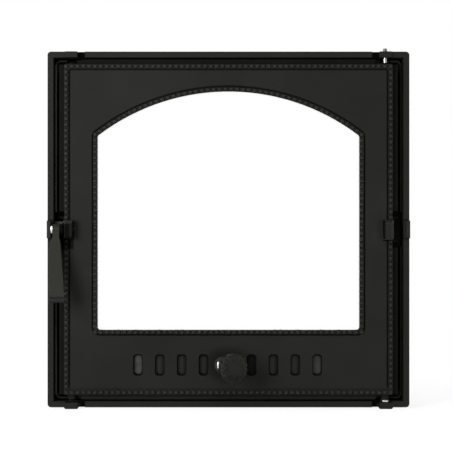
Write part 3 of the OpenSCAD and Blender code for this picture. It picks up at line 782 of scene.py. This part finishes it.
def place(piece, finish, *nodes):
    """Paints a piece, lets it ride where these nodes ride, and hides them."""
    piece.data.materials.clear()
    piece.data.materials.append(finish)
    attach(piece, body_of(nodes[0]))
    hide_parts(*nodes)
    return piece


def merged(node, name):
    """A copy of a part's mesh, with its points merged and its flat faces whole."""
    obj = copy_of(frame["nodes"][node], name)
    obj.parent = None
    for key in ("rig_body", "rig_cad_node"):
        if key in obj:
            del obj[key]
    weld_points(obj)
    bpy.ops.object.mode_set(mode="EDIT")
    bpy.ops.mesh.select_all(action="SELECT")
    bpy.ops.mesh.dissolve_limited(angle_limit=math.radians(0.5))
    object_mode()
    return obj


def eased(node, name, finish, width, segments=2):
    """The part itself with its edges eased, as its casting or press leaves them."""
    obj = merged(node, name)
    round_edges(obj, width, segments)
    smooth(obj)
    return place(obj, finish, node)


# The shares of its width and height that an air slot keeps at its back, as a scale
SLOT_DRAFT = (0.76, 1, 0.84)
# How far the upper and lower edges of the lugs' fronts are drawn in, in millimetres: side,
# up or down, and shift, which is negative where the edge goes outwards
LUG_DRAFTS = ((-1, 1, 4.0), (-1, -1, 2.2), (1, 1, 3.0), (1, -1, -1.2))


def drafted_leaf():
    """The leaf, whose air slots and lugs narrow as the foundry's pattern left them."""
    obj = merged("door_leaf", "cast_leaf")
    level = SLOT_LEVEL * MM
    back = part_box("slider_plate")[0].y - 0.2 * MM
    near = 0.1 * MM
    for side in (-1, 1):
        for i in range(4):
            x = side * (SLOT_FIRST + SLOT_PITCH * i) - SLOT_SHIFT
            points_where(
                obj,
                lambda co: abs(co.y - back) < near
                and abs(co.x - x) < SLOT_W / 2 + near
                and abs(co.z - level) < SLOT_H / 2 + near
            )
            bpy.ops.transform.resize(value=SLOT_DRAFT, center_override=(x, back, level))
            object_mode()
    lug_front, lug_edge = LUG_FRONT * MM + near, 10 * MM
    for side, way, draft in LUG_DRAFTS:
        points_where(
            obj,
            lambda co: co.y < lug_front and co.x * side > 0 and co.z * way > lug_edge
        )
        bpy.ops.transform.translate(value=(0, 0, -way * draft * MM))
        object_mode()
    round_edges(obj, 0.45 * MM)
    smooth(obj)
    return place(obj, LEAF_IRON, "door_leaf")


drafted_leaf()
eased("outer_frame", "cast_frame", FRAME_IRON, 0.5 * MM)
eased("hinge_pin_top", "pin_top", TOP_PIN_STEEL, 0.7 * MM)
eased("hinge_pin_bottom", "pin_bottom", PIN_STEEL, 0.7 * MM)
eased("hinge_spacer", "pin_spacer", SPACER_STEEL, 1.6 * MM, segments=4)
eased("glass_pane", "window_pane", GLASS, 0.4 * MM)
eased("glass_tape", "pane_tape", TAPE, 0.5 * MM)
eased("glass_clips", "pane_clips", ZINC, 0.3 * MM)
eased("slider_guide", "guide_strip", ZINC, 0.3 * MM)
eased("slider_plate", "air_slider_plate", SHEET, 0.25 * MM)
# Both painted near black as shade
eased("latch_washer", "handle_washer", SHADOW_BLACK, 0.3 * MM)
eased("latch_retainer", "pin_retainer", SHADOW_BLACK, 0.2 * MM)
eased("spring_washer", "stud_spring_washer", STUD_STEEL, 0.3 * MM)
eased("front_washer", "stud_washer", WASHER_STEEL, 0.35 * MM)
eased("control_stud", "stud", STUD_STEEL, 0.5 * MM)
eased("latch_pin", "handle_pin", LATCH_STEEL, 0.8 * MM, segments=3)


# ---- Beads -----------------------------------------------------------------------------

# Side of a bead in the part, a bead's foot along and across its band, the share of the foot's
# width that its top keeps, how far it sinks into the panel, and the rounding of its edges
BEAD_SIDE = 4.5 * MM
BEAD_FOOT = (6.3 * MM, 4.6 * MM)
BEAD_TOP = 0.7
BEAD_SUNK, BEAD_ROUND = 0.2 * MM, 0.8 * MM


def islands(obj):
    """The middle and the turn about Y of each separate block in a part's merged mesh."""
    links = {point.index: set() for point in obj.data.vertices}
    for edge in obj.data.edges:
        a, b = edge.vertices
        links[a].add(b)
        links[b].add(a)
    found, seen = [], set()
    for start in links:
        if start in seen:
            continue
        group, todo = [], [start]
        seen.add(start)
        while todo:
            point = todo.pop()
            group.append(obj.data.vertices[point].co)
            for other in links[point] - seen:
                seen.add(other)
                todo.append(other)
        middle = sum(group, Vector()) / len(group)
        front = [co for co in group if co.y < middle.y]
        side = max(
            (b - a for a in front for b in front),
            key=lambda d: (-abs(d.length - BEAD_SIDE), d.x)
        )
        found.append((middle, math.atan2(side.z, side.x)))
    return found


def bead_band(node, name):
    """A pillow-shaped bead on each block of a band."""
    low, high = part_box(node)
    blocks = merged(node, name + "_blocks")
    spots = islands(blocks)
    bpy.data.objects.remove(blocks)
    height = high.y - low.y
    along, across = BEAD_FOOT
    pillow = block("pillow", (-along / 2, -height, -across / 2),
                   (along / 2, BEAD_SUNK, across / 2))
    faces_where(pillow, lambda middle, normal: normal.y < -0.9)
    bpy.ops.transform.resize(value=(BEAD_TOP * across / along, 1, BEAD_TOP))
    object_mode()
    round_edges(pillow, BEAD_ROUND, segments=2, angle=20)
    beads = []
    for middle, turn in spots:
        bead = copy_of(pillow, "bead")
        bead.location = (middle.x, high.y, middle.z)
        bead.rotation_euler = (0, -turn, 0)
        beads.append(bead)
    bpy.data.objects.remove(pillow)
    band = join(name, beads)
    settle(band)
    smooth(band, 60)
    return place(band, BEAD_IRON, node)


bead_band("outer_beading", "beads_round_panel")
bead_band("inner_beading", "beads_round_window")


# ---- Latch handle ----------------------------------------------------------------------

def stretch_down(obj, level, shift, grow):
    """Extrudes the lowest face by a shift, and then widens it by shares along X and Y."""
    faces_where(
        obj, lambda middle, normal: normal.z < -0.7 and middle.z < level + 0.01 * MM
    )
    bpy.ops.mesh.extrude_region_move(TRANSFORM_OT_translate={"value": shift})
    bpy.ops.transform.resize(value=(grow[0], grow[1], 1))
    object_mode()
    return level + shift[2]


# Outline of the handle's blade from its neck down: share of its length, left and right edge
# in millimetres, and thickness
BLADE = (
    (0.05, -199.3, -189.0, 8.8), (0.12, -200.2, -188.2, 7.8), (0.27, -200.9, -187.0, 7.0),
    (0.5, -200.3, -185.2, 6.4), (0.78, -199.2, -183.0, 6.1), (1.0, -198.5, -181.4, 6.0)
)
# The groove above the rolled lip, and the lip: millimetres down and back, and the share that
# its thickness grows by
ROLLED_LIP = ((0.5, 0.3, 0.86), (0.8, 0.0, 1.0), (0.7, -0.5, 1.16), (2.4, -0.2, 1.0))
# The lip's height, and the blade's place behind the handle's front at its foot
LIP_HEIGHT, BLADE_LEAN = 6.4, 7.4


def flared_blade(left, right, pin_y):
    """The handle's blade: a neck under the hub, a flare and the rolled lower lip."""
    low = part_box("latch_handle")[0]
    neck_z, neck_front, neck_back = -9 * MM, pin_y - 5.4 * MM, pin_y + 4 * MM
    blade = block("blade", (left, neck_front, neck_z), (right, neck_back, 0))
    points_where(blade, lambda co: co.z < neck_z + 0.1 * MM)
    bpy.ops.transform.translate(value=(0, -2.6 * MM, 0))
    object_mode()
    lean = low.y + BLADE_LEAN * MM - pin_y
    foot_z = low.z + LIP_HEIGHT * MM
    middle, wide = (left + right) / 2, right - left
    deep, level = neck_back - neck_front, neck_z
    for share, left_edge, right_edge, thick in BLADE:
        next_middle = (left_edge + right_edge) / 2 * MM
        next_wide = (right_edge - left_edge) * MM
        next_level = neck_z + (foot_z - neck_z) * share
        part = (next_level - level) / (foot_z - neck_z)
        level = stretch_down(
            blade, level,
            (next_middle - middle, lean * part, next_level - level),
            (next_wide / wide, thick * MM / deep)
        )
        middle, wide, deep = next_middle, next_wide, thick * MM
    for down, back, grow in ROLLED_LIP:
        level = stretch_down(blade, level, (0, back * MM, -down * MM), (1.0, grow))
    stretch_down(blade, level, (0, 0.5 * MM, low.z - level), (0.97, 0.72))
    round_edges(blade, 1.2 * MM, segments=3, angle=32)
    return blade


def latch_hook(right, pin_y):
    """The arm behind the hub, with the nose that goes behind the frame's keeper bar."""
    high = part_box("latch_handle")[1]
    left, arm_half, nose_y = right - 6 * MM, 2.5 * MM, high.y - 5 * MM
    arm = block("arm", (left, pin_y, -arm_half), (right, high.y, arm_half))
    nose = block("nose", (left, nose_y, -2 * MM), (right, high.y, high.z))
    for bar in (arm, nose):
        round_edges(bar, 0.5 * MM)
    combine(arm, nose, "UNION")
    return arm


def latch_grip():
    """The handle: a hub with its bore for the latch pin, the blade and the hook."""
    pin_low, pin_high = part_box("latch_pin")
    pin_y = (pin_low.y + pin_high.y) / 2
    pin_head, hub_r, bore_r = 2.7 * MM, 6.3 * MM, 3.09 * MM
    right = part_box("latch_washer")[0].x - 0.1 * MM
    left = pin_low.x + pin_head
    middle, wide = (left + right) / 2, right - left
    hub = drum("latch_grip", (middle, pin_y, 0), hub_r, wide, "X", 40)
    combine(hub, flared_blade(left, right, pin_y), "UNION")
    combine(hub, latch_hook(right, pin_y), "UNION")
    combine(hub, drum("bore", (middle, pin_y, 0), bore_r, 3 * wide, "X", 32))
    round_edges(hub, 0.45 * MM, segments=2, angle=50)
    smooth(hub, 50)
    return place(hub, HANDLE_IRON, "latch_handle")


latch_grip()


# ---- Air control -----------------------------------------------------------------------

def chamfered_nut(name, node, finish):
    """Hexagon nut with its corners turned off at both ends."""
    low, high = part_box(node)
    middle = (low + high) / 2
    depth = high.y - low.y
    corner, bore_r, chamfer = (high.x - low.x) / 2, 4 * MM, 1.3 * MM
    nut = drum(name, middle, corner, depth, "Y", 6)
    round_stock = drum("round_stock", middle, corner * 0.995, depth, "Y", 48)
    round_edges(round_stock, chamfer, segments=1)
    combine(nut, round_stock, "INTERSECT")
    combine(nut, drum("bore", middle, bore_r, 2 * depth, "Y", 40))
    round_edges(nut, 0.2 * MM, segments=2, angle=25)
    smooth(nut, 30)
    return place(nut, finish, node)


chamfered_nut("stud_nut_front", "front_nut", NUT_WITH_GLINT)
chamfered_nut("stud_nut_rear", "rear_nut", ZINC)


# Radius and height of the knob's outline over the bend of its stud
KNOB_PROFILE = (
    (7.0, 4.5), (6.9, 5.5), (6.2, 12), (6.4, 19), (8.2, 25), (13.2, 27.6), (15.5, 28.2),
    (16.2, 29.6), (16.2, 35.6), (15.6, 37.4), (13.8, 38.7), (11.5, 39.4), (9.0, 39.9),
    (7.0, 40.1), (4.0, 40.2), (1.0, 40.2)
)
# The grooves' half width as a share of their pitch, the radii and the share that a flute
# keeps of them at the knob's side, and inner radius, outer radius and depth on its face
GROOVE_HALF = 0.1
FLUTE_INNER, FLUTE_OUTER, FLUTE_SHARE = 13, 17, 0.915
FACE_GROOVES = ((10, 14.5, 0.6), (8, 10, 0.4))


def fluted_knob():
    """Knob on a waisted neck, with a groove down each flute and on across its face."""
    points_per_flute = 6
    foot_r, foot_z = KNOB_PROFILE[0]
    bpy.ops.mesh.primitive_circle_add(
        vertices=FLUTES * points_per_flute, radius=foot_r * MM, fill_type="NGON",
        location=(0, 0, foot_z * MM)
    )
    knob = named("air_knob")
    settle(knob)
    edit(knob)
    bpy.ops.object.mode_set(mode="EDIT")
    bpy.ops.mesh.select_all(action="SELECT")
    for (wide, high), (next_wide, next_high) in zip(KNOB_PROFILE, KNOB_PROFILE[1:]):
        bpy.ops.mesh.extrude_region_move(
            TRANSFORM_OT_translate={"value": (0, 0, (next_high - high) * MM)}
        )
        grow = next_wide / wide
        bpy.ops.transform.resize(value=(grow, grow, 1))
    bpy.ops.mesh.select_all(action="SELECT")
    bpy.ops.mesh.normals_make_consistent(inside=False)
    object_mode()

    def in_groove(co):
        step = math.atan2(co.y, co.x) / (2 * math.pi) * FLUTES
        return abs(step - round(step)) < GROOVE_HALF

    def in_ring(co, inner, outer, from_z):
        return inner * MM < math.hypot(co.x, co.y) < outer * MM and co.z > from_z

    side_z, middle_z, face_z = 26 * MM, 34 * MM, 38 * MM
    points_where(
        knob, lambda co: in_groove(co) and in_ring(co, FLUTE_INNER, FLUTE_OUTER, side_z)
    )
    bpy.ops.transform.resize(
        value=(FLUTE_SHARE, FLUTE_SHARE, 1), center_override=(0, 0, middle_z)
    )
    object_mode()
    for inner, outer, depth in FACE_GROOVES:
        points_where(knob, lambda co: in_groove(co) and in_ring(co, inner, outer, face_z))
        bpy.ops.transform.translate(value=(0, 0, -depth * MM))
        object_mode()
    finish_with(knob, "SUBSURF", levels=1, render_levels=1)
    knob.rotation_euler = Vector(
        (math.sin(KNOB_LEAN), -math.cos(KNOB_LEAN), KNOB_RISE)
    ).to_track_quat("Z", "Y").to_euler()
    knob.location = knob_foot()
    settle(knob)
    smooth(knob, 50)
    return place(knob, KNOB_IRON, "control_knob")


fluted_knob()


# ---- Screws ----------------------------------------------------------------------------

def screw_spots(obj):
    """X and Z of the middle of each screw in a part."""
    apart = 8 * MM
    groups = []
    for point in obj.data.vertices:
        here = (point.co.x, point.co.z)
        near = [group for group in groups if math.dist(here, group[0]) < apart]
        if near:
            near[0].append(here)
        else:
            groups.append([here])
    return [[(min(line) + max(line)) / 2 for line in zip(*group)] for group in groups]


def slotted_screws(node, name):
    """Pan-head screws with a slot, one on each screw of the part."""
    head_r, head_h, shank_r = 3.5 * MM, 2.5 * MM, 2 * MM
    slot_half, slot_depth = 0.5 * MM, 1.1 * MM
    obj = merged(node, name + "_cad")
    spots = screw_spots(obj)
    low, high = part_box(node)
    front, back = low.y, high.y
    bpy.data.objects.remove(obj)
    head = drum("screw", (0, back - head_h / 2, 0), head_r, head_h, "Y", 28)
    faces_where(head, lambda middle, normal: normal.y > 0.9)
    bpy.ops.transform.resize(value=(0.86, 1, 0.86))
    object_mode()
    round_edges(head, 0.35 * MM, segments=2, angle=25)
    slot = block("slot", (-head_r, back - slot_depth, -slot_half), (head_r, back + MM, slot_half))
    combine(head, slot)
    neck = back - head_h
    shank = drum("shank", (0, (front + neck) / 2, 0), shank_r, neck - front, "Y", 20)
    screw = join("screw", [head, shank])
    screws = []
    for i, (x, z) in enumerate(spots):
        twin = copy_of(screw, "screw")
        twin.location = (x, 0, z)
        twin.rotation_euler = (0, 1.1 * i, 0)
        screws.append(twin)
    bpy.data.objects.remove(screw)
    group = join(name, screws)
    settle(group)
    smooth(group, 40)
    return place(group, ZINC, node)


slotted_screws("clip_screws", "pane_clip_screws")
slotted_screws("guide_screws", "guide_strip_screws")


# ---- Rope seal -------------------------------------------------------------------------

# Length of a stitch, depth of the ribs between them and how many run round the rope, the
# sides of its tube, the radius of its ring's corners, and the step from ring to ring
STITCH, RIB_DEPTH, RIBS_ROUND = 5.2 * MM, 0.55 * MM, 4
ROPE_SIDES, ROPE_CORNER, ROPE_STEP = 24, 10 * MM, 1.6 * MM


def on_circle(angle):
    """A point of the unit circle in the door's plane."""
    return Vector((math.cos(angle), 0, math.sin(angle)))


def rounded_ring(half_x, half_z, corner_r, y, step):
    """Points about a step apart along a rectangle with rounded corners."""
    quarter = math.pi / 2
    path = []
    for k, (right, up) in enumerate(((1, 1), (-1, 1), (-1, -1), (1, -1))):
        corner = Vector(((half_x - corner_r) * right, y, (half_z - corner_r) * up))
        start = quarter * k
        count = round(corner_r * quarter / step)
        for i in range(count):
            path.append(corner + on_circle(start + quarter * i / count) * corner_r)
        end = corner + on_circle(start + quarter) * corner_r
        run = 2 * ((half_x if k % 2 == 0 else half_z) - corner_r)
        ahead = on_circle(start + 2 * quarter)
        count = round(run / step)
        path += [end + ahead * (run * i / count) for i in range(count)]
    return path


def seal_rope():
    """Knitted rope pressed into its channel: a closed tube with knitted ribs round it."""
    low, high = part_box("rope_seal")
    radius, y = (high.y - low.y) / 2, (low.y + high.y) / 2
    path = rounded_ring(high.x - radius, high.z - radius, ROPE_CORNER, y, ROPE_STEP)
    rings = len(path)
    points, faces, threads = [], [], []
    along = 0.0
    total = sum((path[i] - path[i - 1]).length for i in range(rings))
    stitches = round(total / STITCH)
    back = Vector((0, 1, 0))
    for i, point in enumerate(path):
        following = path[(i + 1) % rings]
        out = (following - path[i - 1]).normalized().cross(back).normalized()
        phase = 2 * math.pi * stitches * along / total
        for j in range(ROPE_SIDES):
            turn = 2 * math.pi * j / ROPE_SIDES
            rib = max(math.sin(phase + RIBS_ROUND * turn), math.sin(phase - RIBS_ROUND * turn))
            r = radius - RIB_DEPTH * (1 - rib) / 2
            points.append(point + (out * math.cos(turn) + back * math.sin(turn)) * r)
            threads.append((along / MM, radius / MM * turn))
        along += (following - point).length
    for i in range(rings):
        this, after = i * ROPE_SIDES, (i + 1) % rings * ROPE_SIDES
        for j in range(ROPE_SIDES):
            beside = (j + 1) % ROPE_SIDES
            faces.append((this + j, this + beside, after + beside, after + j))
    mesh = bpy.data.meshes.new("seal_rope")
    mesh.from_pydata(points, [], faces)
    uv = mesh.uv_layers.new(name="thread")
    for face in mesh.polygons:
        for loop in face.loop_indices:
            uv.data[loop].uv = threads[mesh.loops[loop].vertex_index]
    obj = bpy.data.objects.new("seal_rope", mesh)
    bpy.context.scene.collection.objects.link(obj)
    take(obj)
    bpy.ops.object.mode_set(mode="EDIT")
    bpy.ops.mesh.select_all(action="SELECT")
    bpy.ops.mesh.normals_make_consistent(inside=False)
    object_mode()
    bpy.ops.object.shade_smooth()
    return place(obj, ROPE, "rope_seal")


seal_rope()


# ---- Floor, light and camera -------------------------------------------------------------

def white_to_rays(finish, surface, share):
    """Shows white, for the share that each kind of ray gets, in front of a surface."""
    path = finish.node("ShaderNodeLightPath").socket.node
    rays = {
        name: Value(finish, path.outputs[f"Is {name} Ray"])
        for name in ("Camera", "Glossy", "Transmission")
    }
    shown = (share * rays["Camera"]).most(rays["Glossy"].most(rays["Transmission"]))
    white = finish.node("ShaderNodeEmission", {"Color": (1, 1, 1, 1), "Strength": 1.0})
    return finish.node("ShaderNodeMixShader", {0: shown, 1: surface, 2: white})


def pale_floor(level):
    """A pale floor that fades into the white background a little way from the door."""
    bpy.ops.mesh.primitive_plane_add(size=12, location=(0, 0, level))
    floor = named("floor")
    settle(floor)
    finish = Finish("pale_floor")
    matt = finish.node(
        "ShaderNodeBsdfDiffuse", {"Color": (0.86, 0.86, 0.86, 1), "Roughness": 1.0}
    )
    x, y, _ = finish.axes()
    fade_from, fade_to = 220, 400
    share = 0.82 + 0.18 * length(x, y).fade(fade_from, fade_to)
    finish.cover(white_to_rays(finish, matt, share))
    floor.data.materials.append(finish.material)


def white_room(strength):
    """Plain light from all round, on a white background."""
    world = bpy.data.worlds.new("room")
    bpy.context.scene.world = world
    world.use_nodes = True
    nodes, links = world.node_tree.nodes, world.node_tree.links
    nodes.clear()
    path = nodes.new("ShaderNodeLightPath")
    seen = nodes.new("ShaderNodeMath")
    seen.operation = "MAXIMUM"
    links.new(path.outputs["Is Camera Ray"], seen.inputs[0])
    links.new(path.outputs["Is Transmission Ray"], seen.inputs[1])
    bright = nodes.new("ShaderNodeMath")
    bright.operation = "MAXIMUM"
    links.new(seen.outputs[0], bright.inputs[0])
    links.new(path.outputs["Is Glossy Ray"], bright.inputs[1])
    power = nodes.new("ShaderNodeMapRange")
    links.new(bright.outputs[0], power.inputs["Value"])
    power.inputs["To Min"].default_value = strength
    power.inputs["To Max"].default_value = 1.0
    back = nodes.new("ShaderNodeBackground")
    back.inputs["Color"].default_value = (1, 1, 1, 1)
    links.new(power.outputs[0], back.inputs["Strength"])
    out = nodes.new("ShaderNodeOutputWorld")
    links.new(back.outputs[0], out.inputs["Surface"])


def soft_lamp(name, at, towards, size, power):
    """A rectangular lamp at one place that shines towards another."""
    lamp = bpy.data.lights.new(name, "AREA")
    lamp.shape = "RECTANGLE"
    lamp.size, lamp.size_y = size
    lamp.energy = power
    obj = bpy.data.objects.new(name, lamp)
    bpy.context.scene.collection.objects.link(obj)
    obj.location = at
    aim = Vector(towards) - Vector(at)
    obj.rotation_euler = aim.to_track_quat("-Z", "Y").to_euler()


def camera(x, z, distance, rim_y, view_width):
    """Looks straight along +Y, and takes in view_width at the rim."""
    lens = bpy.data.cameras.new("camera")
    lens.sensor_width = 36
    lens.lens = lens.sensor_width * distance / view_width
    lens.clip_start = 0.05
    obj = bpy.data.objects.new("camera", lens)
    bpy.context.scene.collection.objects.link(obj)
    obj.location = (x, rim_y - distance, z)
    obj.rotation_euler = (math.pi / 2, 0, 0)
    bpy.context.scene.camera = obj


# The photo's width in pixels, and the size of one at the rim's front
PIXELS = 452
PIXEL = 1.133 * MM

pale_floor(cad_box[0][2])
white_room(strength=0.08)
soft_lamp("left_box", at=(-0.83, -1.13, 0.24), towards=(-0.05, 0, 0), size=(0.6, 0.8), power=18.5)
soft_lamp("right_box", at=(0.6, -0.8, -0.12), towards=(0.05, 0, 0), size=(0.24, 0.5), power=2.2)
soft_lamp("top_box", at=(0.1, -1.4, 0.9), towards=(0, 0, 0), size=(0.6, 0.4), power=5.2)
for side, back_power in ((-1, 5), (1, 11)):
    soft_lamp(
        "side_box", at=(1.3 * side, 0.12, 0.35), towards=(0.2 * side, 0, 0), size=(0.5, 0.9),
        power=10
    )
    soft_lamp(
        "back_box", at=(0.7 * side, 1.3, 0.4), towards=(0, 0, 0), size=(0.5, 0.8),
        power=back_power
    )
soft_lamp("high_box", at=(0, 0.3, 1.4), towards=(0, 0, 0.2), size=(0.8, 0.5), power=5)
camera(
    x=-2.8 * MM, z=3.9 * MM, distance=1.5, rim_y=RIM_FRONT * MM, view_width=PIXELS * PIXEL
)
bpy.context.scene.view_settings.view_transform = "Standard"
